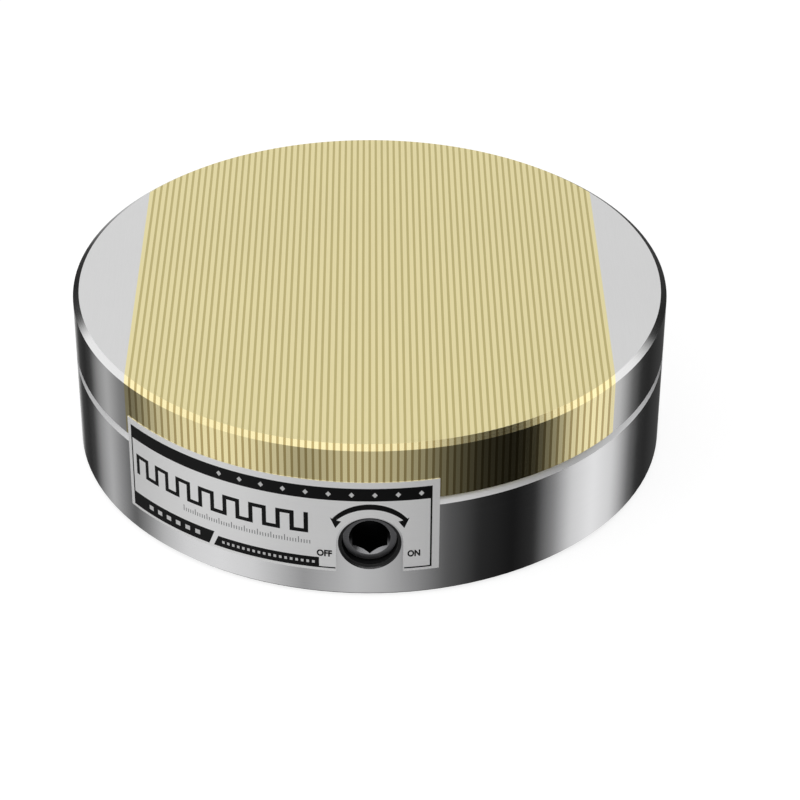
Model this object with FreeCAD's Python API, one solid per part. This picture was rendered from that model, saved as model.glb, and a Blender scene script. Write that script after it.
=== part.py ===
import FreeCAD, Part
import math
import os

from FreeCAD import Vector

# Round permanent-magnet chuck, in millimetres and degrees. +Z is up, the work face is on top, the key socket
# faces -Y, and the origin is the centre of the underside. At rest the chuck is OFF: the crank pin and the magnet
# pack are at the -X end of their travel, and half a turn of the shaft takes them to the +X end.

# Driving sizes: base and top plate
chuck_r = 90.0
base_h = 33.3
plate_h = 18.2
wall_t = 17.0
floor_t = 8.0
base_top_chamfer = 2.7
foot_chamfer = 1.0
plate_chamfer_w = 1.8
plate_chamfer_h = 1.2
register_r = 25.0
register_depth = 3.0
mount_hole_count = 3
mount_hole_first = 90.0
mount_hole_r = 3.4
mount_hole_depth = 16.0

# Driving sizes: laminated work face
pole_strip_t = 0.75
brass_strip_t = 1.22
segment_depth = 19.4

# Driving sizes: screws and dowels between base and plate
plate_screw_count = 4
plate_screw_first = 45.0
plate_screw_r = 3.0
plate_screw_length = 35.0
plate_screw_head_r = 5.0
plate_screw_head_h = 6.0
plate_screw_key = 5.0
plate_screw_key_depth = 3.0
plate_screw_sink = 0.8
screw_hole_play = 0.2
screw_head_play = 0.5
thread_play = 0.02
tapped_runout = 2.0
dowel_angle = 20.0
dowel_r = 2.5
dowel_length = 12.0
press_play = 0.01

# Driving sizes: key shaft, its bush and stop screw
shaft_z = 18.45
shaft_r = 8.0
shaft_recess = 3.0
shaft_edge_chamfer = 0.4
running_play = 0.03
bush_wall = 0.97
bush_recess = 0.9
boss_wall = 3.5
boss_depth = 6.5
socket_key = 10.0
socket_depth = 8.0
socket_lead = 0.18
stop_groove_from_face = 13.0
stop_groove_depth = 1.8
stop_screw_r = 3.0
stop_screw_key = 3.0
stop_screw_key_depth = 3.5
stop_screw_sink = 1.5
stop_screw_gap = 0.45
dog_r = 1.9
dog_play = 0.25
pin_r = 4.0
pin_length = 8.5

# Driving sizes: magnet pack
strips_per_bay = 3
pack_gap = 7.0
pack_end_chord = 30.0
pack_plate_t = 1.2
pack_end_t = 4.0
pack_lift = 2.0
pack_top_play = 0.3
magnet_rail_play = 0.6
magnet_inset = 1.7
magnet_rod_space = 3.0
rod_y = 16.0
rod_lift = 6.0
rod_r = 2.0
rod_play = 0.1
rod_overhang = 0.6
nut_key = 7.0
nut_t = 3.2
block_bays = 2
block_rear = 10.0
block_top_play = 1.5
block_front_play = 0.7
block_floor_play = 1.0
slot_play = 0.2
slot_end_play = 0.8

# Driving sizes: guide rails
rail_y = 30.0
rail_w = 8.0
rail_rise = 4.0
rail_seat = 1.0
rail_end_gap = 6.6
rail_play = 0.15
rail_top_play = 0.1

# Driving sizes: name plate on the rim
name_plate_from = -50.8
name_plate_to = 12.6
name_plate_low = 8.6
name_plate_high = 39.7
name_plate_t = 0.3
name_plate_notch_gap = 0.5

# Worked out from the driving sizes
X = Vector(1, 0, 0)
Y = Vector(0, 1, 0)
Z = Vector(0, 0, 1)
origin = Vector(0, 0, 0)
cut_over = 1.0

chuck_h = base_h + plate_h
cavity_r = chuck_r - wall_t
wall_mid_r = chuck_r - wall_t / 2
screw_seat_z = plate_screw_sink + plate_screw_head_h
screw_tip_z = screw_seat_z + plate_screw_length

strip_pitch = pole_strip_t + brass_strip_t
strips_each_side = int((chuck_r - segment_depth - pole_strip_t / 2 - brass_strip_t) / strip_pitch)
lamination_x = strips_each_side * strip_pitch + pole_strip_t / 2 + brass_strip_t

bush_bore_r = shaft_r + running_play
bush_r = bush_bore_r + bush_wall
shaft_bore_r = bush_r + press_play
face_y = shaft_recess - chuck_r
boss_y = boss_depth - cavity_r
stop_groove_y = face_y + stop_groove_from_face
stop_groove_r = shaft_r - stop_groove_depth
socket_mouth_r = socket_key / math.sqrt(3) + socket_lead

bay_pitch = strips_per_bay * strip_pitch
eccentricity = bay_pitch / 4
pack_rest_x = -strip_pitch / 2
pin_rest_x = -eccentricity
lag_angle = math.asin(2 / math.pi)
crank_lag = eccentricity * (2 * lag_angle / math.pi - 1 + math.cos(lag_angle))

pack_r = cavity_r - pack_gap
bays_each_side = int((math.sqrt(pack_r ** 2 - pack_end_chord ** 2) - pack_end_t) / bay_pitch)
pack_low = floor_t + pack_lift
pack_high = base_h - pack_top_play
pack_end_x = bays_each_side * bay_pitch + pack_plate_t / 2
rod_z = pack_low + rod_lift
rail_low = floor_t - rail_seat
rail_top = floor_t + rail_rise
rail_half_l = math.sqrt(cavity_r ** 2 - (rail_y + rail_w / 2) ** 2) - rail_end_gap
block_half_w = block_bays * bay_pitch - pack_plate_t / 2
block_front = boss_y + block_front_play
block_top = base_h - block_top_play


def box(x_range, y_range, z_range):
    sizes = [high - low for low, high in (x_range, y_range, z_range)]
    return Part.makeBox(*sizes, Vector(x_range[0], y_range[0], z_range[0]))


def rod_along(axis, r, start, length):
    return Part.makeCylinder(r, length, start, axis)


def turned(corners):
    """A solid turned about Z from its (radius, height) corners."""
    points = [Vector(r, 0, z) for r, z in corners]
    return Part.Face(Part.makePolygon(points + points[:1])).revolve(origin, Z, 360)


def hexagon(key, low, high):
    """A hexagonal bar along Z, its size across flats, with two corners on the Y axis."""
    corner_r = key / math.sqrt(3)
    angles = [math.radians(30 + 60 * i) for i in range(7)]
    points = [Vector(corner_r * math.cos(a), corner_r * math.sin(a), low) for a in angles]
    return Part.Face(Part.makePolygon(points)).extrude(Vector(0, 0, high - low))


def polar(r, angle):
    return Vector(r * math.cos(math.radians(angle)), r * math.sin(math.radians(angle)), 0)


def polar_places(r, count, first):
    return [polar(r, first + 360 * i / count) for i in range(count)]


def placed(shape, place):
    copy = shape.copy()
    copy.translate(place)
    return copy


def on_shaft_axis(shape):
    """Lays a shape made along Z on the shaft's axis, so that its heights become places along Y."""
    laid = shape.copy()
    laid.rotate(origin, X, -90)
    return placed(laid, Vector(0, 0, shaft_z))


# Where the holes of the base and the plate lie

def plate_screw_places():
    return polar_places(wall_mid_r, plate_screw_count, plate_screw_first)


def mount_hole_places():
    return polar_places(wall_mid_r, mount_hole_count, mount_hole_first)


def dowel_places():
    """Two places in the plain steel segments, opposite each other."""
    return polar_places(wall_mid_r, 2, dowel_angle)


def dowel_holes(low, high):
    hole = rod_along(Z, dowel_r + press_play, Vector(0, 0, low), high - low)
    return [placed(hole, place) for place in dowel_places()]


def rail_form(y, play=0.0):
    """A rail as a plain bar, or with some play the seat that it is pressed into."""
    half_l = rail_half_l + play
    half_w = rail_w / 2 + play
    return box((-half_l, half_l), (y - half_w, y + half_w), (rail_low, rail_top))


# Base

def shaft_boss():
    """The arched lug inside the cavity that lengthens the shaft's bore."""
    half_w = bush_r + boss_wall
    y_range = (-cavity_r - wall_t / 2, boss_y)
    foot = box((-half_w, half_w), y_range, (floor_t - cut_over, shaft_z))
    arch = rod_along(Y, half_w, Vector(0, y_range[0], shaft_z), y_range[1] - y_range[0])
    inside = rod_along(Z, chuck_r - wall_t / 4, Vector(0, 0, floor_t - cut_over), base_h - floor_t)
    return foot.fuse(arch).common(inside)


def plate_screw_hole():
    """Counterbore and clearance hole, open at both ends of the wall."""
    head_r = plate_screw_head_r + screw_head_play
    shank_r = plate_screw_r + screw_hole_play
    return turned([(0, -cut_over), (head_r, -cut_over), (head_r, screw_seat_z), (shank_r, screw_seat_z),
                   (shank_r, base_h + cut_over), (0, base_h + cut_over)])


def base_body():
    """The round cup: foot chamfer, light chamfer under the plate, cavity above and register below."""
    blank = turned([(0, register_depth), (register_r, register_depth), (register_r, 0),
                    (chuck_r - foot_chamfer, 0), (chuck_r, foot_chamfer),
                    (chuck_r, base_h - base_top_chamfer), (chuck_r - base_top_chamfer, base_h),
                    (cavity_r, base_h), (cavity_r, floor_t), (0, floor_t)])
    bore = rod_along(Y, shaft_bore_r, Vector(0, -chuck_r - cut_over, shaft_z), chuck_r + 2 * cut_over + boss_y)
    stop_hole = rod_along(Z, stop_screw_r + thread_play, Vector(0, stop_groove_y, -cut_over), shaft_z)
    mount_hole = rod_along(Z, mount_hole_r, Vector(0, 0, -cut_over), mount_hole_depth + cut_over)
    holes = [bore, stop_hole] + [rail_form(side * rail_y, press_play) for side in (-1, 1)]
    holes += dowel_holes(base_h - dowel_length / 2 - press_play, base_h + cut_over)
    holes += [placed(plate_screw_hole(), place) for place in plate_screw_places()]
    holes += [placed(mount_hole, place) for place in mount_hole_places()]
    return blank.fuse(shaft_boss()).cut(holes)


# Top plate

def plate_holes():
    """The tapped holes and the dowel holes, all from below."""
    tap = rod_along(Z, plate_screw_r + thread_play, Vector(0, 0, base_h - cut_over),
                    screw_tip_z + tapped_runout - base_h + cut_over)
    taps = [placed(tap, place) for place in plate_screw_places()]
    return taps + dowel_holes(base_h - cut_over, base_h + dowel_length / 2 + press_play)


def plate_segment(x_from, x_to):
    """A plain steel end of the round plate, cut off along the strips."""
    disc = turned([(0, base_h), (chuck_r, base_h), (chuck_r, chuck_h - plate_chamfer_h),
                   (chuck_r - plate_chamfer_w, chuck_h), (0, chuck_h)])
    side = box((x_from, x_to), (-chuck_r, chuck_r), (base_h, chuck_h))
    return disc.common(side).cut(plate_holes())


def rim_reach(x):
    """How far the plate goes from its centre line along Y, at a place across it."""
    return math.sqrt(chuck_r ** 2 - x ** 2)


def chamfer_cutter(x_from, x_to, side):
    """What comes off the top edge at one end of a lamination: a prism along that edge, past both its ends."""
    start = Vector(x_from, side * rim_reach(x_from), chuck_h - plate_chamfer_h)
    along = Vector(x_to, side * rim_reach(x_to), chuck_h - plate_chamfer_h) - start
    inwards = Vector(0, -side * plate_chamfer_w * along.Length / (x_to - x_from), plate_chamfer_h)
    outwards = Vector(0, side * plate_chamfer_h, plate_chamfer_h)
    corners = [start - inwards, start + inwards * 2, start + outwards * 2]
    section = Part.Face(Part.makePolygon(corners + corners[:1]))
    section.translate(-along)
    return section.extrude(along * 3)


def strip(x, thickness):
    """One lamination, its ends cut to the plate's round rim and chamfered like it on top."""
    x_from = x - thickness / 2
    x_to = x + thickness / 2
    plan = [Vector(x_from, -rim_reach(x_from), base_h), Vector(x_to, -rim_reach(x_to), base_h),
            Vector(x_to, rim_reach(x_to), base_h), Vector(x_from, rim_reach(x_from), base_h)]
    bar = Part.Face(Part.makePolygon(plan + plan[:1])).extrude(Vector(0, 0, plate_h))
    return bar.cut([chamfer_cutter(x_from, x_to, side) for side in (-1, 1)] + plate_holes())


def pole_strips():
    """The thin steel strips, one on the centre line and the rest in pairs."""
    return [strip(i * strip_pitch, pole_strip_t) for i in range(-strips_each_side, strips_each_side + 1)]


def brass_strips():
    """The brass between the steel strips, and one more strip outside each end."""
    first = -strips_each_side - 1
    return [strip((i + 0.5) * strip_pitch, brass_strip_t) for i in range(first, strips_each_side + 1)]


# What holds base and plate together

def plate_screws():
    """Socket-head screws from below."""
    screw = turned([(0, plate_screw_sink), (plate_screw_head_r, plate_screw_sink),
                    (plate_screw_head_r, screw_seat_z), (plate_screw_r, screw_seat_z),
                    (plate_screw_r, screw_tip_z), (0, screw_tip_z)])
    screw = screw.cut(hexagon(plate_screw_key, 0, plate_screw_sink + plate_screw_key_depth))
    return [placed(screw, place) for place in plate_screw_places()]


def dowel_pins():
    low = Vector(0, 0, base_h - dowel_length / 2)
    return [rod_along(Z, dowel_r, place + low, dowel_length) for place in dowel_places()]


# Key shaft

def stop_groove():
    """The half-turn groove round the shaft, whose ends the stop screw meets at OFF and at ON."""
    half_w = dog_r + dog_play
    outer_r = shaft_r + cut_over
    corners = [Vector(r, 0, stop_groove_y + side * half_w)
               for r, side in ((stop_groove_r, -1), (outer_r, -1), (outer_r, 1), (stop_groove_r, 1))]
    section = Part.Face(Part.makePolygon(corners + corners[:1]))
    section.rotate(origin, Z, -90)
    ends = [rod_along(Vector(0, side, 0), half_w, Vector(0, side * stop_groove_r, stop_groove_y),
                      outer_r - stop_groove_r) for side in (-1, 1)]
    return section.revolve(origin, Z, 180).fuse(ends)


def key_socket():
    """The hexagonal hole with its coned mouth, which leaves a bright scallop at each flat."""
    mouth = turned([(0, face_y - cut_over), (socket_mouth_r + cut_over, face_y - cut_over),
                    (0, face_y + socket_mouth_r)])
    return hexagon(socket_key, face_y - cut_over, face_y + socket_depth).fuse(mouth)


def eccentric_shaft():
    """The key shaft, with its socket in front and its crank pin inside."""
    body = turned([(0, face_y), (shaft_r - shaft_edge_chamfer, face_y), (shaft_r, face_y + shaft_edge_chamfer),
                   (shaft_r, boss_y), (0, boss_y)])
    pin = rod_along(Z, pin_r, Vector(pin_rest_x, 0, boss_y - cut_over), pin_length + cut_over)
    return on_shaft_axis(body.fuse(pin).cut([stop_groove(), key_socket()]))


def shaft_bush():
    """Thin black bearing sleeve, with a hole below for the stop screw's dog point."""
    bush_y = bush_recess - chuck_r
    sleeve = turned([(bush_bore_r, bush_y), (bush_r, bush_y), (bush_r, boss_y), (bush_bore_r, boss_y)])
    dog_hole = rod_along(Y, dog_r + 2 * dog_play, Vector(0, stop_groove_r, stop_groove_y), bush_r)
    return on_shaft_axis(sleeve.cut(dog_hole))


def stop_screw():
    """Set screw from below, whose dog point runs in the shaft's half-turn groove."""
    body_top = shaft_z - bush_r - stop_screw_gap
    dog_top = shaft_z - stop_groove_r - dog_play
    screw = turned([(0, stop_screw_sink), (stop_screw_r, stop_screw_sink), (stop_screw_r, body_top),
                    (dog_r, body_top), (dog_r, dog_top), (0, dog_top)])
    screw = screw.cut(hexagon(stop_screw_key, 0, stop_screw_sink + stop_screw_key_depth))
    return placed(screw, Vector(0, stop_groove_y, 0))


# Magnet pack: made centred on its plates, then moved to where it rests

def pack_reach(x):
    """How far the pack goes from its centre line along Y, at a place across it."""
    return math.sqrt(pack_r ** 2 - x ** 2)


def resting(shape):
    return placed(shape, Vector(pack_rest_x, 0, 0))


def notch(y, half_w, top):
    """A slot along X in the underside of whatever it is cut from."""
    return box((-chuck_r, chuck_r), (y - half_w, y + half_w), (0, top))


def rail_notches():
    return [notch(side * rail_y, rail_w / 2 + rail_play, rail_top + rail_top_play) for side in (-1, 1)]


def rod_notches():
    """Open slots that drop over the tie rods."""
    return [notch(side * rod_y, rod_r + rod_play, rod_z + rod_r + rod_play) for side in (-1, 1)]


def pack_plate(x_from, x_to, y_from, y_to):
    blank = box((x_from, x_to), (y_from, y_to), (pack_low, pack_high))
    return blank.cut(rail_notches() + rod_notches())


def pole_plates():
    """Steel plates across the pack, shorter towards its sides so that it fits the round cavity."""
    plates = []
    for i in range(-bays_each_side, bays_each_side + 1):
        x = i * bay_pitch
        reach = pack_reach(abs(x) + pack_plate_t / 2)
        front = -block_rear if abs(i) < block_bays else -reach
        plates.append(resting(pack_plate(x - pack_plate_t / 2, x + pack_plate_t / 2, front, reach)))
    return plates


def end_plate(x_from, x_to):
    reach = pack_reach(pack_end_x + pack_end_t)
    return resting(pack_plate(x_from, x_to, -reach, reach))


def magnet_rows(bay, reach):
    """Where the magnets lie along one bay: a row between the tie rods and one beyond each."""
    inner = rod_y - magnet_rod_space
    outer = rod_y + magnet_rod_space
    if -block_bays <= bay < block_bays:
        return [(-block_rear, inner), (outer, reach)]
    return [(-reach, -outer), (-inner, inner), (outer, reach)]


def magnets():
    """One row of magnets in each bay between two plates."""
    blocks = []
    z_range = (rail_top + magnet_rail_play, pack_high - magnet_inset)
    for bay in range(-bays_each_side, bays_each_side):
        x_from = bay * bay_pitch + pack_plate_t / 2
        x_to = (bay + 1) * bay_pitch - pack_plate_t / 2
        reach = pack_reach(max(abs(x_from), abs(x_to)) + pack_plate_t)
        blocks += [resting(box((x_from, x_to), y_range, z_range)) for y_range in magnet_rows(bay, reach)]
    return blocks


def drive_block():
    """The bronze block that the crank pin moves: an upright slot in its nose, pinned by the front tie rod."""
    z_range = (floor_t + block_floor_play, block_top)
    blank = box((-block_half_w, block_half_w), (block_front, -block_rear), z_range)
    half_w = pin_r + crank_lag + slot_play
    slot_x = pin_rest_x - pack_rest_x
    slot_front = block_front - cut_over
    slot_rear = boss_y + pin_length + slot_end_play
    slot = box((slot_x - half_w, slot_x + half_w), (slot_front, slot_rear),
               (shaft_z - eccentricity, shaft_z + eccentricity))
    ends = [rod_along(Y, half_w, Vector(slot_x, slot_front, shaft_z + side * eccentricity), slot_rear - slot_front)
            for side in (-1, 1)]
    rod_hole = rod_along(X, rod_r + rod_play, Vector(-chuck_r, -rod_y, rod_z), 2 * chuck_r)
    return resting(blank.cut([slot, rod_hole] + ends + rail_notches()))


def tie_rods():
    half_l = pack_end_x + pack_end_t + nut_t + rod_overhang
    rod = resting(rod_along(X, rod_r, Vector(-half_l, 0, rod_z), 2 * half_l))
    return [placed(rod, Vector(0, side * rod_y, 0)) for side in (-1, 1)]


def tie_nuts():
    """A hexagonal nut on each end of each tie rod."""
    nut = hexagon(nut_key, 0, nut_t).cut(rod_along(Z, rod_r + thread_play, origin, nut_t))
    nut.rotate(origin, Y, 90)
    seats = (-pack_end_x - pack_end_t - nut_t, pack_end_x + pack_end_t)
    return [resting(placed(nut, Vector(x, side * rod_y, rod_z))) for x in seats for side in (-1, 1)]


# Name plate

def name_plate():
    """A thin plate bent to the rim, with a notch from below round the key socket."""
    outer_r = chuck_r + name_plate_t
    corners = [Vector(r, 0, z) for r, z in ((chuck_r, name_plate_low), (outer_r, name_plate_low),
                                            (outer_r, name_plate_high), (chuck_r, name_plate_high))]
    section = Part.Face(Part.makePolygon(corners + corners[:1]))
    section.rotate(origin, Z, name_plate_from - 90)
    sheet = section.revolve(origin, Z, name_plate_to - name_plate_from)
    notch_r = shaft_bore_r + name_plate_notch_gap
    y_range = (-outer_r - cut_over, 0)
    notch_top = rod_along(Y, notch_r, Vector(0, y_range[0], shaft_z), y_range[1] - y_range[0])
    notch_low = box((-notch_r, notch_r), y_range, (0, shaft_z))
    return sheet.cut([notch_top, notch_low])


def write_node(name, solids):
    """One STEP file for a node, from one solid or a list of separate solids."""
    shape = Part.makeCompound(solids) if isinstance(solids, list) else solids
    shape.exportStep(os.path.join("parts", name + ".step"))
    print(name, len(shape.Solids), round(shape.Volume, 2), shape.isValid())


def main():
    os.makedirs("parts", exist_ok=True)
    write_node("base_body", base_body())
    write_node("left_segment", plate_segment(-chuck_r, -lamination_x))
    write_node("right_segment", plate_segment(lamination_x, chuck_r))
    write_node("pole_strips", pole_strips())
    write_node("brass_strips", brass_strips())
    write_node("plate_screws", plate_screws())
    write_node("dowel_pins", dowel_pins())
    write_node("name_plate", name_plate())
    write_node("eccentric_shaft", eccentric_shaft())
    write_node("shaft_bush", shaft_bush())
    write_node("stop_screw", stop_screw())
    write_node("front_rail", rail_form(-rail_y))
    write_node("rear_rail", rail_form(rail_y))
    write_node("pole_plates", pole_plates())
    write_node("left_end_plate", end_plate(-pack_end_x - pack_end_t, -pack_end_x))
    write_node("right_end_plate", end_plate(pack_end_x, pack_end_x + pack_end_t))
    write_node("magnets", magnets())
    write_node("drive_block", drive_block())
    write_node("tie_rods", tie_rods())
    write_node("tie_nuts", tie_nuts())


main()
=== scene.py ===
import math

import bmesh
import bpy
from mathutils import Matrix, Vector


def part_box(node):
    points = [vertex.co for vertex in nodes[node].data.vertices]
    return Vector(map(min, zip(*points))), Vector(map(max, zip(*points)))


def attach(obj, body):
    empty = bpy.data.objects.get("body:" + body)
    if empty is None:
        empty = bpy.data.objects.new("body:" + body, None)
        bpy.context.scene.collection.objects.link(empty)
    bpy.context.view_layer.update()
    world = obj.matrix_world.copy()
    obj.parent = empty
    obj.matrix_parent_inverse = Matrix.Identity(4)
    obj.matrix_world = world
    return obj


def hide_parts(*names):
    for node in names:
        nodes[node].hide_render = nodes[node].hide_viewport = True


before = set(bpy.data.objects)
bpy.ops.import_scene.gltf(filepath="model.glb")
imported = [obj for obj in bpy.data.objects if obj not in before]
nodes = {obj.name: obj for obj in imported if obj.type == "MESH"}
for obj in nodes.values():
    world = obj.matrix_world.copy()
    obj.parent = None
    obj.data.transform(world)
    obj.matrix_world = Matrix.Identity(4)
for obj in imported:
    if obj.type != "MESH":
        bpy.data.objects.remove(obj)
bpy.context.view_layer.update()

MM = 0.001

# Sizes taken from the solids, in metres
rim_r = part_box("base_body")[1].x
joint_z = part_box("base_body")[1].z
shaft_face_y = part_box("eccentric_shaft")[0].y
shaft_z = sum(corner.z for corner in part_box("eccentric_shaft")) / 2

# The name plate's sheet and its ink. The sheet's face lies inside the solid's, and so the ink does too.
sheet_inset = 0.04 * MM
plate_face_r = -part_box("name_plate")[0].y - sheet_inset
ink_t = 0.06 * MM
ink_proud = 0.02 * MM
pale_ink_proud = 0.035 * MM

# Where the plate and its print lie: degrees round the rim from the key socket, and millimetres above the
# underside. The widths of upright lines are in degrees too.
plate_left, plate_right = -50.8, 12.6
plate_low, plate_high = 8.6, 39.7
notch_r = 9.51
print_left, print_right = -49.9, 11.23
print_low = 9.5
band_low, band_high = 33.4, 37.7
line_w, line_t = 0.32, 0.45
notch_line_left, notch_line_right = -6.2, 6.22
tall_foot_high = 14.3
tall_foot_end_low, tall_foot_end_high = -30.8, -29.6
short_foot_high = 13.1
short_foot_start_low, short_foot_start_high = -29.8, -28.8
short_foot_end = -9.2
meander_first, meander_step, meander_count = -48.2, 2.62, 15
meander_w, meander_t = 0.82, 1.25
meander_low, meander_high = 21.4, 28.4
scale_first, scale_step, scale_count = -36.4, 0.52, 50
scale_line_w = 0.16
scale_low, scale_high, scale_long_high = 17.6, 18.8, 19.6
diamond_first, diamond_step, diamond_count = -28.7, 4.16, 10
diamond_w, diamond_low, diamond_high = 1.0, 34.6, 36.4
block_first, block_step, block_count = -45.4, 2.3, 6
block_w, block_low, block_high = 1.1, 11.2, 12.7
dot_first, dot_step, dot_count = -28.0, 1.03, 18
dot_w, dot_low, dot_high = 0.5, 10.9, 11.8
off_left, off_right = -9.6, -6.8
on_left, on_right = 6.8, 9.12
letters_low, letters_high = 13.57, 15.86
letter_weight = 0.042
bend_step = 1.2

# The arc arrow over the socket: millimetres from the shaft's axis, and degrees from straight up
arrow_r = 13.0
arrow_reach = 51.0
arrow_half_t = 0.92
arrow_taper = 0.35
arrow_head = ((14.3, 51.5), (11.1, 61.0), (11.2, 46.0), (12.8, 50.5))

# Places on the base and the key shaft whose finish differs, and where painted shade and a painted highlight go
joint_chamfer_w, joint_chamfer_h = 2.75 * MM, 2.69 * MM
foot_chamfer = 1.0 * MM
foot_shadow_fade_z = 0.85 * MM
socket_reach = 6.3 * MM
face_skin = 0.02 * MM
lead_in_depth = 2.0 * MM

# Roughness and metal shares, and how closely the tool marks lie along X, Y and Z or from turn to turn
ground_rough, ground_metallic = 0.5, 0.15
rim_gloss, strip_rim_gloss = 0.1, 0.13
chamfer_rough, chamfer_metallic = 0.42, 0.8
rubbed_rough, rubbed_w = 0.22, 0.25 * MM
along_y = (7000.0, 120.0, 7000.0)
across_base = (9000.0, 300.0, 300.0)
rim_turning = 5200.0
fine_turning = 9000.0

# What bright turned metal mirrors round the object: degrees from the front, and the tone that the steel shows
surroundings = ((-180, 205), (180, 150), (-172, 208), (-163, 130), (-157, 60), (-147, 40), (-139, 60),
                (-131, 137), (-123, 168), (-114, 130), (-106, 88), (-98, 131), (-89, 177), (-77, 205),
                (-61, 214), (-47, 204), (-26, 146), (-6, 181), (4, 171), (17, 136), (30, 82), (43, 39),
                (58, 22), (68, 42), (77, 128), (86, 200), (98, 224), (110, 203), (123, 100), (131, 46),
                (139, 38), (163, 62))
# The same for what is higher up, which the chamfer of the work face mirrors: degrees, and the light's strength
overhead = ((-180, 1.1), (180, 1.1), (-151, 1.1), (-148, 0.08), (-145, 0.2), (-141, 1.1), (-124, 1.1),
            (-100, 1.05), (-80, 1.05), (-62, 1.05), (-45, 1.1), (0, 1.05), (35, 0.98), (53, 0.76), (62, 0.42),
            (70, 0.2), (76, 0.1), (84, 0.03), (90, 0.1), (96, 0.8), (103, 1.15), (118, 1.15), (124, 1.08),
            (129, 0.5), (132, 0.05), (143, 0.02), (150, 1.1))
strongest = 1.4
overhead_from, overhead_full = 0.3, 0.42
sky_diffuse = 0.76

# The floor, the lamp and the camera, in metres and, where the chuck's own size sets them, in rim radii
floor_half = 4.0
floor_drop = 0.1 * MM
floor_tone = 0.32
floor_glow = 0.79
lamp_place, lamp_target = (-0.75, -0.4, 0.9), (0, 0, 0.03)
lamp_size = 0.8
lamp_watts = 2.4
camera_forward, camera_up, camera_target_up = 7.727 * rim_r, 5.274 * rim_r, 0.3 * rim_r
lens_mm, sensor_mm = 120.4, 36.0
lens_shift_x, lens_shift_y = 0.0378, -0.0675


def linear_colour(red, green, blue):
    """A colour as a screen writes it, 0 to 255, as the linear colour that shaders take."""
    return tuple(((c / 255 + 0.055) / 1.055) ** 2.4 if c > 10 else c / 255 / 12.92 for c in (red, green, blue))


base_tone = linear_colour(228, 228, 229)


# Shader building

def feed(tree, socket, value):
    """Links a socket to another, or sets its value."""
    if isinstance(value, bpy.types.NodeSocket):
        tree.links.new(value, socket)
    else:
        socket.default_value = value


def add_node(tree, kind, inputs=None, **settings):
    node = tree.nodes.new(kind)
    for name, value in settings.items():
        setattr(node, name, value)
    for name, value in (inputs or {}).items():
        feed(tree, node.inputs[name], value)
    return node


def worked_out(tree, operation, *values):
    """One Math node's result."""
    return add_node(tree, "ShaderNodeMath", dict(enumerate(values)), operation=operation).outputs[0]


def total(tree, first, second):
    return worked_out(tree, "ADD", first, second)


def product(tree, first, second):
    return worked_out(tree, "MULTIPLY", first, second)


def rest_of(tree, share):
    return worked_out(tree, "SUBTRACT", 1.0, share)


def blended(tree, share, low, high):
    """A value between two others, by a share."""
    return total(tree, product(tree, low, rest_of(tree, share)), product(tree, high, share))


def colour_between(tree, share, low, high):
    """A colour between two others, by a share."""
    node = add_node(tree, "ShaderNodeMix", data_type="RGBA")
    feed(tree, node.inputs[0], share)
    feed(tree, node.inputs[6], low)
    feed(tree, node.inputs[7], high)
    return node.outputs[2]


def ranged(tree, value, from_low, from_high, to_low, to_high, smooth=False):
    """A value moved from one range to another, and held inside it."""
    inputs = {"Value": value, "From Min": from_low, "From Max": from_high, "To Min": to_low, "To Max": to_high}
    curve = "SMOOTHSTEP" if smooth else "LINEAR"
    return add_node(tree, "ShaderNodeMapRange", inputs, interpolation_type=curve).outputs["Result"]


def parts_of(tree, vector):
    """A vector's X, Y and Z."""
    return add_node(tree, "ShaderNodeSeparateXYZ", {0: vector}).outputs


def place_on_object(tree):
    return add_node(tree, "ShaderNodeTexCoord").outputs["Object"]


def surface_normal(tree):
    return add_node(tree, "ShaderNodeNewGeometry").outputs["Normal"]


def reach_from(tree, part, across, up, height=0.0):
    """Distance from an axis, in the plane of two coordinates."""
    side = product(tree, part[across], part[across])
    rise = worked_out(tree, "SUBTRACT", part[up], height)
    return worked_out(tree, "SQRT", total(tree, side, product(tree, rise, rise)))


def noise(tree, vector, scale, detail):
    inputs = {"Vector": vector, "Scale": scale, "Detail": detail, "Roughness": 0.55}
    return add_node(tree, "ShaderNodeTexNoise", inputs).outputs["Fac"]


# Effects that several materials share, each a node group with one output

def new_effect(name, output, given=None):
    """An empty shader node group, with one named input at most."""
    tree = bpy.data.node_groups.new(name, "ShaderNodeTree")
    if given:
        label, kind, value = given
        tree.interface.new_socket(label, in_out="INPUT", socket_type=kind).default_value = value
    tree.interface.new_socket(output, in_out="OUTPUT", socket_type="NodeSocketFloat")
    return tree, tree.nodes.new("NodeGroupInput").outputs, tree.nodes.new("NodeGroupOutput").inputs


def straight_marks():
    """Grinding lines: noise drawn out along the directions in which Run is small."""
    run = ("Run", "NodeSocketVector", (1, 1, 1))
    tree, given, result = new_effect("straight grinding marks", "Marks", run)
    stretched = add_node(tree, "ShaderNodeVectorMath", {0: place_on_object(tree), 1: given["Run"]},
                         operation="MULTIPLY").outputs["Vector"]
    lines = noise(tree, stretched, scale=1.0, detail=4.0)
    feed(tree, result["Marks"], ranged(tree, lines, 0.3, 0.7, 0.0, 1.0))
    return tree


def turned_marks():
    """Turning lines: noise drawn out round the Z axis."""
    closeness = ("Lines", "NodeSocketFloat", 4000.0)
    tree, given, result = new_effect("turned marks round the rim", "Marks", closeness)
    part = parts_of(tree, place_on_object(tree))
    angle = worked_out(tree, "ARCTAN2", part["Y"], part["X"])
    reach = reach_from(tree, part, "X", "Y")
    wound = {"X": product(tree, angle, 3.0), "Y": product(tree, reach, given["Lines"]),
             "Z": product(tree, part["Z"], given["Lines"])}
    lines = noise(tree, add_node(tree, "ShaderNodeCombineXYZ", wound).outputs[0], scale=1.0, detail=3.0)
    feed(tree, result["Marks"], ranged(tree, lines, 0.3, 0.7, 0.0, 1.0))
    return tree


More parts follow.
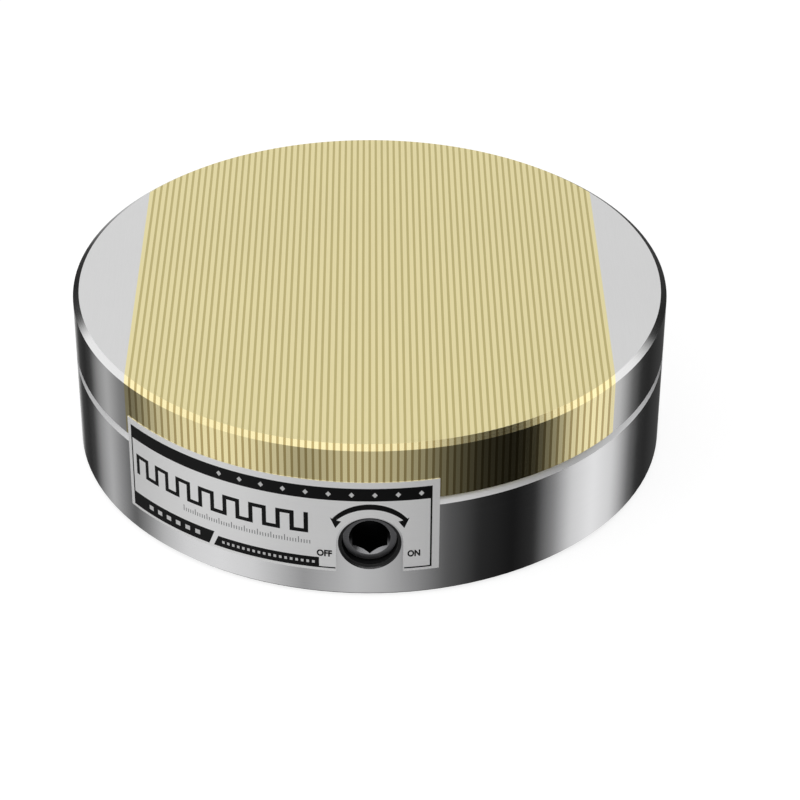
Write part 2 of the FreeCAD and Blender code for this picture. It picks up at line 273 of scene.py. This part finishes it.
def handling():
    """Slow cloudy change, as from oil and wiping."""
    tree, given, result = new_effect("handling and oil", "Cloud", ("Size", "NodeSocketFloat", 30.0))
    cloud = noise(tree, place_on_object(tree), given["Size"], detail=3.0)
    feed(tree, result["Cloud"], ranged(tree, cloud, 0.35, 0.65, 0.0, 1.0))
    return tree


def upright_faces():
    """1 on faces that stand upright and 0 on level ones."""
    tree, _, result = new_effect("upright faces", "Upright")
    height = worked_out(tree, "ABSOLUTE", parts_of(tree, surface_normal(tree))["Z"])
    feed(tree, result["Upright"], ranged(tree, height, 0.9, 0.97, 1.0, 0.0, smooth=True))
    return tree


def rubbed_edges():
    """1 along edges, broken up as if by handling."""
    tree, given, result = new_effect("rubbed edges", "Edge", ("Width", "NodeSocketFloat", 0.0003))
    rounded = add_node(tree, "ShaderNodeBevel", {"Radius": given["Width"]}, samples=4).outputs["Normal"]
    alike = add_node(tree, "ShaderNodeVectorMath", {0: rounded, 1: surface_normal(tree)},
                     operation="DOT_PRODUCT").outputs["Value"]
    broken = ranged(tree, noise(tree, place_on_object(tree), scale=900.0, detail=3.0), 0.35, 0.6, 0.2, 1.0)
    feed(tree, result["Edge"], product(tree, ranged(tree, alike, 0.995, 0.9, 0.0, 1.0), broken))
    return tree


effects = {
    "edges": rubbed_edges(),
    "straight": straight_marks(),
    "turned": turned_marks(),
    "handling": handling(),
    "upright": upright_faces(),
}


def effect(tree, name, inputs=None):
    """A shared effect's output, for use in a material."""
    node = tree.nodes.new("ShaderNodeGroup")
    node.node_tree = effects[name]
    for label, value in (inputs or {}).items():
        feed(tree, node.inputs[label], value)
    return node.outputs[0]


# Materials

def new_material(name, settings):
    """A material with a Principled shader, its constants set on the shader's own sockets."""
    material = bpy.data.materials.new(name)
    material.use_nodes = True
    tree = material.node_tree
    shader = tree.nodes["Principled BSDF"]
    for label, value in settings.items():
        shader.inputs[label].default_value = value
    return material, tree, shader


def marks_of(tree, run):
    """Tool marks: straight ones for three numbers, turned ones for one."""
    if isinstance(run, tuple):
        return effect(tree, "straight", {"Run": run})
    return effect(tree, "turned", {"Lines": run})


def shaded(tree, shader, colour, shade, marks, cloud):
    """Feeds the base colour, a little darker and lighter with the marks and the handling."""
    share = total(tree, product(tree, marks, 0.65), product(tree, cloud, 0.35))
    dark = (*[c * (1 - shade) for c in colour], 1)
    light = (*[min(1, c * (1 + shade)) for c in colour], 1)
    feed(tree, shader.inputs["Base Color"], colour_between(tree, share, dark, light))


def bumped(tree, shader, marks, depth):
    bump = add_node(tree, "ShaderNodeBump", {"Height": marks, "Distance": depth, "Strength": 0.6})
    feed(tree, shader.inputs["Normal"], bump.outputs["Normal"])


def mixed_in(tree, shader, label, share, value):
    """Moves what already feeds a socket towards another value or colour, by a share."""
    given = shader.inputs[label].links[0].from_socket
    between = colour_between if label == "Base Color" else blended
    feed(tree, shader.inputs[label], between(tree, share, given, value))


def worn(tree, shader, share, tone):
    """Lightens and polishes the edges."""
    edge = product(tree, effect(tree, "edges", {"Width": rubbed_w}), share)
    mixed_in(tree, shader, "Base Color", edge, (tone, tone, tone, 1))
    mixed_in(tree, shader, "Roughness", edge, rubbed_rough)


def machined(name, colour, rough, run, shade=0.06, depth=0.002 * MM, metallic=1.0, size=30.0):
    """Metal with tool marks and handling, the same all over."""
    material, tree, shader = new_material(name, {"Metallic": metallic})
    marks = marks_of(tree, run)
    cloud = effect(tree, "handling", {"Size": size})
    shaded(tree, shader, colour, shade, marks, cloud)
    mixed = total(tree, product(tree, marks, 0.5), product(tree, cloud, 0.5))
    feed(tree, shader.inputs["Roughness"], ranged(tree, mixed, 0.0, 1.0, rough - 0.08, rough + 0.08))
    bumped(tree, shader, marks, depth)
    worn(tree, shader, 0.5, 0.8)
    return material


def rim_steel(name, colour, face_rough, rim_rough, face_metallic, run, painted_rim_tone=None):
    """Metal ground flat on its level faces and turned bright round its rim."""
    material, tree, shader = new_material(name, {})
    upright = effect(tree, "upright")
    marks = blended(tree, upright, marks_of(tree, run), marks_of(tree, rim_turning))
    cloud = effect(tree, "handling", {"Size": 22.0})
    shaded(tree, shader, colour, 0.03, marks, cloud)
    # Painted light and shade: the rim gets a tone lighter or darker than the level face of the same metal.
    if painted_rim_tone:
        mixed_in(tree, shader, "Base Color", upright, (*painted_rim_tone, 1))
    rough = ranged(tree, upright, 0.0, 1.0, face_rough, rim_rough)
    change = ranged(tree, product(tree, marks, cloud), 0.0, 1.0, -0.02, 0.04)
    feed(tree, shader.inputs["Roughness"], total(tree, rough, change))
    feed(tree, shader.inputs["Metallic"], ranged(tree, upright, 0.0, 1.0, face_metallic, 1.0))
    bumped(tree, shader, marks, 0.0012 * MM)
    return material


def coated(name, colour, rough, size=40.0, grit=0.004 * MM, specular=0.5, metallic=0.0, wear=0.3):
    """Black oxide, lining or ink: a fine grit and slow change over it."""
    material, tree, shader = new_material(name, {"Specular IOR Level": specular, "Metallic": metallic})
    cloud = effect(tree, "handling", {"Size": size})
    grain = noise(tree, place_on_object(tree), scale=3500.0, detail=3.0)
    shaded(tree, shader, colour, 0.15, grain, cloud)
    feed(tree, shader.inputs["Roughness"], ranged(tree, cloud, 0.0, 1.0, rough - 0.06, rough + 0.06))
    bumped(tree, shader, grain, grit)
    if wear:
        worn(tree, shader, wear, 0.2)
    return material


def ink(name, colour, specular):
    return coated(name, colour, 0.5, grit=0.001 * MM, specular=specular, wear=0)


def reopened(material):
    """A finished material's tree, its shader and the parts of the place on the object."""
    tree = material.node_tree
    return tree, tree.nodes["Principled BSDF"], parts_of(tree, place_on_object(tree))


def base_steel():
    """The base: bright turned side, a satin chamfer under the plate, and painted contact shadow on the foot
    chamfer: near black, dull and not metallic.
    """
    material = rim_steel("bright turned base steel", base_tone, 0.34, rim_gloss, 0.9, across_base)
    tree, shader, part = reopened(material)
    reach = reach_from(tree, part, "X", "Y")
    outside = worked_out(tree, "GREATER_THAN", reach, rim_r - joint_chamfer_w)
    high = worked_out(tree, "GREATER_THAN", part["Z"], joint_z - joint_chamfer_h)
    chamfer = product(tree, outside, high)
    mixed_in(tree, shader, "Roughness", chamfer, chamfer_rough)
    mixed_in(tree, shader, "Metallic", chamfer, chamfer_metallic)
    # Painted contact shadow: below a short fade, the foot chamfer turns near black, dull and not metallic.
    low = ranged(tree, part["Z"], foot_shadow_fade_z, foot_chamfer, 1.0, 0.0)
    foot = product(tree, low, worked_out(tree, "GREATER_THAN", reach, rim_r - foot_chamfer))
    mixed_in(tree, shader, "Base Color", foot, (0.02, 0.02, 0.021, 1))
    mixed_in(tree, shader, "Metallic", foot, 0.0)
    mixed_in(tree, shader, "Roughness", foot, 1.0)
    worn(tree, shader, 0.35, 0.85)
    return material


def shaft_steel():
    """The key shaft: dark turned face, painted shade near black inside the socket, and a painted highlight on
    the lead-in faces that turn up and to the front.
    """
    dark_steel = linear_colour(102, 102, 104)
    material = machined("dark turned shaft steel", dark_steel, 0.3, fine_turning, metallic=0.9, size=160.0)
    tree, shader, part = reopened(material)
    # Painted shade: inside the socket the colour is near black.
    near = worked_out(tree, "LESS_THAN", reach_from(tree, part, "X", "Z", shaft_z), socket_reach)
    inside = product(tree, near, worked_out(tree, "GREATER_THAN", part["Y"], shaft_face_y + face_skin))
    mixed_in(tree, shader, "Base Color", inside, (0.012, 0.012, 0.013, 1))
    # Painted highlight: lead-in faces that turn up and to the front are lighter.
    normal = parts_of(tree, surface_normal(tree))
    highlight_facing = product(tree, ranged(tree, normal["Z"], 0.05, 0.4, 0.0, 1.0),
                     ranged(tree, normal["Y"], -0.35, -0.2, 1.0, 0.0))
    lead_in = product(tree, inside, worked_out(tree, "LESS_THAN", part["Y"], shaft_face_y + lead_in_depth))
    mixed_in(tree, shader, "Base Color", product(tree, lead_in, highlight_facing), (0.3, 0.3, 0.31, 1))
    return material


finishes = {
    "base_body": base_steel(),
    "left_segment": rim_steel("satin ground segment steel", linear_colour(221, 221, 221), ground_rough,
                              rim_gloss, ground_metallic, along_y),
    # The strips' rim tones are painted light and shade, set apart from the tones of their level faces.
    "pole_strips": rim_steel("ground pole steel", linear_colour(195, 181, 119), ground_rough, strip_rim_gloss,
                             ground_metallic, along_y, painted_rim_tone=linear_colour(188, 170, 114)),
    "brass_strips": rim_steel("ground pale brass", linear_colour(238, 226, 170), ground_rough, strip_rim_gloss,
                              ground_metallic, along_y, painted_rim_tone=linear_colour(249, 236, 183)),
    "plate_screws": coated("black oxide screw steel", linear_colour(44, 44, 46), 0.38, metallic=0.8),
    "dowel_pins": machined("hardened pin steel", linear_colour(205, 205, 207), 0.18, fine_turning),
    "name_plate": machined("printed foil ground", linear_colour(246, 246, 246), 0.42, (60.0, 60.0, 9000.0),
                           shade=0.02, metallic=0.35, depth=0.0008 * MM),
    "eccentric_shaft": shaft_steel(),
    "shaft_bush": coated("black bush liner", linear_colour(13, 13, 14), 0.42, size=180.0, specular=0.3),
    "front_rail": machined("milled bronze", linear_colour(196, 158, 104), 0.35, (300.0, 6000.0, 6000.0)),
    "pole_plates": machined("oiled pack steel", linear_colour(164, 164, 167), 0.32, (9000.0, 400.0, 400.0)),
    "left_end_plate": machined("milled light alloy", linear_colour(214, 214, 216), 0.34,
                               (400.0, 6000.0, 6000.0)),
    "magnets": machined("nickel plated magnet", linear_colour(182, 178, 168), 0.24, (800.0, 800.0, 800.0),
                        shade=0.1),
    "tie_rods": machined("zinc plated steel", linear_colour(196, 198, 202), 0.3, (500.0, 7000.0, 7000.0),
                         shade=0.1),
}
same_finish = {"right_segment": "left_segment", "stop_screw": "plate_screws", "rear_rail": "front_rail",
               "drive_block": "front_rail", "right_end_plate": "left_end_plate", "tie_nuts": "tie_rods"}


def dress_nodes():
    for name, node in nodes.items():
        node.material_slots[0].material = finishes[same_finish.get(name, name)]


# The name plate and its print. Pieces are drawn flat, in degrees and millimetres, then bent round the rim.

def spread_grid(form, steps):
    """A unit grid, as its vertices with their shares across and up."""
    verts = bmesh.ops.create_grid(form, x_segments=steps, y_segments=1, size=0.5)["verts"]
    half = max(vert.co.x for vert in verts)
    return [(vert, vert.co.x / half / 2 + 0.5, vert.co.y / half / 2 + 0.5) for vert in verts]


def patch(form, low_left, low_right, top_right, top_left):
    """A four-cornered patch, cut across often enough to bend."""
    steps = max(1, round((low_right[0] - low_left[0]) / bend_step))
    corners = [Vector(corner) for corner in (low_left, low_right, top_right, top_left)]
    for vert, across, up in spread_grid(form, steps):
        low = corners[0].lerp(corners[1], across)
        top = corners[3].lerp(corners[2], across)
        vert.co = (*low.lerp(top, up), 0)


def bar(form, left, right, low, high):
    patch(form, (left, low), (right, low), (right, high), (left, high))


def row_of_bars(form, first, step, count, width, low, high):
    for i in range(count):
        left = first + i * step
        bar(form, left, left + width, low, high)


def round_shaft(radius, angle):
    """A place near the key socket, from its radius in millimetres and its angle from straight up."""
    across = radius * math.sin(math.radians(angle))
    return math.degrees(across * MM / rim_r), shaft_z / MM + radius * math.cos(math.radians(angle))


def turning_arrow(form):
    """The double-headed arc over the socket, thicker in the middle."""
    for vert, across, up in spread_grid(form, 48):
        turn = 2 * across - 1
        half_t = arrow_half_t * (1 - arrow_taper * turn * turn)
        vert.co = (*round_shaft(arrow_r + (2 * up - 1) * half_t, arrow_reach * turn), 0)
    for side in (-1, 1):
        corners = bmesh.ops.create_circle(form, cap_ends=True, radius=1.0, segments=len(arrow_head))["verts"]
        for vert, (radius, angle) in zip(corners, arrow_head):
            vert.co = (*round_shaft(radius, side * angle), 0)


def letters(form, text, left, right, low, high):
    """A word set between two angles and two heights."""
    before = set(form.verts)
    curve = bpy.data.curves.new("letters", "FONT")
    curve.body = text
    curve.offset = letter_weight
    carrier = bpy.data.objects.new("letters", curve)
    bpy.context.scene.collection.objects.link(carrier)
    mesh = bpy.data.meshes.new_from_object(carrier)
    form.from_mesh(mesh)
    fresh = [vert for vert in form.verts if vert not in before]
    xs, ys = [vert.co.x for vert in fresh], [vert.co.y for vert in fresh]
    for vert in fresh:
        across = (vert.co.x - min(xs)) / (max(xs) - min(xs))
        up = (vert.co.y - min(ys)) / (max(ys) - min(ys))
        vert.co = (left + across * (right - left), low + up * (high - low), 0)
    bpy.data.objects.remove(carrier)
    bpy.data.meshes.remove(mesh)


def face_outwards(form):
    form.normal_update()
    for face in form.faces:
        middle = face.calc_center_median()
        if face.normal.dot(Vector((middle.x, middle.y, 0))) < 0:
            face.normal_flip()


def wrapped(name, draw, material, proud, thickness):
    """What draw makes, bent round the rim and given its thickness inwards."""
    form = bmesh.new()
    draw(form)
    reach = plate_face_r + proud
    for vert in form.verts:
        angle = math.radians(vert.co.x)
        vert.co = (reach * math.sin(angle), -reach * math.cos(angle), vert.co.y * MM)
    face_outwards(form)
    mesh = bpy.data.meshes.new(name)
    form.to_mesh(mesh)
    form.free()
    mesh.materials.append(material)
    piece = bpy.data.objects.new(name, mesh)
    bpy.context.scene.collection.objects.link(piece)
    layer = piece.modifiers.new("layer", "SOLIDIFY")
    layer.thickness = thickness
    layer.offset = -1
    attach(piece, "base")
    return piece


def plate_sheet(form):
    """The name plate, with its notch round the key socket."""
    shaft_high = shaft_z / MM
    notch = math.degrees(math.asin(notch_r / (rim_r / MM)))
    for left, right in ((plate_left, -notch), (notch, plate_right)):
        bar(form, left, right, plate_low, shaft_high)
        bar(form, left, right, shaft_high, plate_high)
    for vert, across, up in spread_grid(form, 24):
        arc = math.sin(math.radians(90 * (2 * across - 1)))
        low = shaft_high + notch_r * math.sqrt(max(0, 1 - arc * arc))
        vert.co = (arc * notch, low + up * (plate_high - low), 0)
    bmesh.ops.remove_doubles(form, verts=form.verts, dist=0.001)


def frame_and_bands(form):
    """The band at the top, the two at the foot and the thin lines that frame the print."""
    line_high = print_low + line_t
    bar(form, print_left, print_right, band_low, band_high)
    bar(form, print_left, print_left + line_w, tall_foot_high, band_low)
    bar(form, print_right - line_w, print_right, line_high, band_low)
    bar(form, short_foot_end, notch_line_left, print_low, line_high)
    bar(form, notch_line_right, print_right, print_low, line_high)
    patch(form, (print_left, print_low), (tall_foot_end_low, print_low), (tall_foot_end_high, tall_foot_high),
          (print_left, tall_foot_high))
    patch(form, (short_foot_start_low, print_low), (short_foot_end, print_low),
          (short_foot_end, short_foot_high), (short_foot_start_high, short_foot_high))


def meander(form):
    """The bold square wave: uprights, joined by turns at the top and at the foot."""
    for i in range(meander_count):
        middle = meander_first + i * meander_step
        bar(form, middle - meander_w / 2, middle + meander_w / 2, meander_low, meander_high)
        if i < meander_count - 1:
            low = meander_high - meander_t if i % 2 == 0 else meander_low
            bar(form, middle + meander_w / 2, middle + meander_step - meander_w / 2, low, low + meander_t)


def black_print(form):
    frame_and_bands(form)
    meander(form)
    turning_arrow(form)
    letters(form, "OFF", off_left, off_right, letters_low, letters_high)
    letters(form, "ON", on_left, on_right, letters_low, letters_high)


def grey_print(form):
    """A fine scale under the square wave, with every fifth line longer."""
    for i in range(scale_count):
        left = scale_first + i * scale_step
        bar(form, left, left + scale_line_w, scale_low, scale_long_high if i % 5 == 0 else scale_high)


def pale_print(form):
    """Diamonds in the band at the top, and blocks and dots in the bands at the foot."""
    half_w, middle = diamond_w / 2, (diamond_low + diamond_high) / 2
    for i in range(diamond_count):
        left = diamond_first + i * diamond_step
        patch(form, (left, middle), (left + half_w, diamond_low), (left + diamond_w, middle),
              (left + half_w, diamond_high))
    row_of_bars(form, block_first, block_step, block_count, block_w, block_low, block_high)
    row_of_bars(form, dot_first, dot_step, dot_count, dot_w, dot_low, dot_high)


def name_plate():
    sheet = wrapped("name_plate_sheet", plate_sheet, finishes["name_plate"], 0.0, plate_face_r - rim_r)
    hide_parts("name_plate")
    black = ink("black ink", linear_colour(9, 9, 10), 0.12)
    grey = ink("grey ink", linear_colour(132, 132, 134), 0.2)
    pale = ink("pale ink", linear_colour(214, 214, 214), 0.2)
    wrapped("black_print", black_print, black, ink_proud, ink_t)
    wrapped("grey_print", grey_print, grey, ink_proud, ink_t)
    wrapped("pale_print", pale_print, pale, pale_ink_proud, ink_t)


# Studio: light, floor and camera

def ring_of_light(tree, turn, stops):
    """A ramp round the object, from degrees and strengths, of which the first two are its ends."""
    ramp = add_node(tree, "ShaderNodeValToRGB", {0: turn})
    spots = ramp.color_ramp.elements
    for i, (degrees, strength) in enumerate(stops):
        place = (degrees + 180) / 360
        spot = (spots[0], spots[-1])[i] if i < 2 else spots.new(place)
        spot.position = place
        spot.color = (*[strength / strongest] * 3, 1)
    return product(tree, ramp.outputs["Color"], strongest)


def studio_world():
    """Even white light. Mirroring metal sees upright light and dark cards, as in a product studio."""
    world = bpy.data.worlds.new("studio")
    bpy.context.scene.world = world
    world.use_nodes = True
    tree = world.node_tree
    part = parts_of(tree, add_node(tree, "ShaderNodeTexCoord").outputs["Generated"])
    angle = worked_out(tree, "ARCTAN2", part["X"], product(tree, part["Y"], -1.0))
    turn = ranged(tree, angle, -math.pi, math.pi, 0.0, 1.0)
    cards = [(degrees, linear_colour(tone, tone, tone)[0] / base_tone[0]) for degrees, tone in surroundings]
    rise = ranged(tree, part["Z"], overhead_from, overhead_full, 0.0, 1.0, smooth=True)
    mirrored = blended(tree, rise, ring_of_light(tree, turn, cards), ring_of_light(tree, turn, overhead))
    path = add_node(tree, "ShaderNodeLightPath").outputs
    seen = blended(tree, path["Is Glossy Ray"], sky_diffuse, mirrored)
    direct = worked_out(tree, "MAXIMUM", path["Is Camera Ray"], path["Is Transmission Ray"])
    background = tree.nodes["Background"]
    feed(tree, background.inputs["Color"], (1, 1, 1, 1))
    feed(tree, background.inputs["Strength"], blended(tree, direct, seen, 1.0))


def floor_paint():
    """Pale paint that the camera sees as white, clear from below."""
    material, tree, shader = new_material("pale floor", {"Base Color": (floor_tone, floor_tone, floor_tone, 1),
                                                         "Roughness": 1.0, "Specular IOR Level": 0.0,
                                                         "Emission Strength": 1.0})
    camera_ray = add_node(tree, "ShaderNodeLightPath").outputs["Is Camera Ray"]
    glow = colour_between(tree, camera_ray, (0, 0, 0, 1), (floor_glow, floor_glow, floor_glow, 1))
    feed(tree, shader.inputs["Emission Color"], glow)
    below = add_node(tree, "ShaderNodeNewGeometry").outputs["Backfacing"]
    feed(tree, shader.inputs["Alpha"], rest_of(tree, below))
    return material


def floor():
    """A floor just under the foot, which keeps a faint shadow round it."""
    form = bmesh.new()
    bmesh.ops.create_grid(form, x_segments=1, y_segments=1, size=floor_half)
    bmesh.ops.translate(form, verts=form.verts, vec=(0, 0, -floor_drop))
    mesh = bpy.data.meshes.new("floor")
    form.to_mesh(mesh)
    form.free()
    mesh.materials.append(floor_paint())
    piece = bpy.data.objects.new("floor", mesh)
    bpy.context.scene.collection.objects.link(piece)
    piece.visible_glossy = False


def looking(thing, place, target):
    """Puts a lamp or the camera in its place, turned to a target."""
    thing.location = place
    thing.rotation_euler = (Vector(target) - Vector(place)).to_track_quat("-Z", "Y").to_euler()
    bpy.context.scene.collection.objects.link(thing)


def lamp():
    """A large soft lamp, high on the left, that metal doesn't mirror."""
    light = bpy.data.lights.new("soft lamp", "AREA")
    light.size = lamp_size
    light.energy = lamp_watts
    thing = bpy.data.objects.new("soft lamp", light)
    thing.visible_glossy = False
    looking(thing, lamp_place, lamp_target)


def camera():
    lens = bpy.data.cameras.new("camera")
    lens.sensor_width = sensor_mm
    lens.lens = lens_mm
    lens.shift_x = lens_shift_x
    lens.shift_y = lens_shift_y
    thing = bpy.data.objects.new("camera", lens)
    looking(thing, (0, -camera_forward, camera_up), (0, 0, camera_target_up))
    bpy.context.scene.camera = thing


dress_nodes()
name_plate()
studio_world()
floor()
lamp()
camera()
bpy.context.scene.view_settings.view_transform = "Standard"
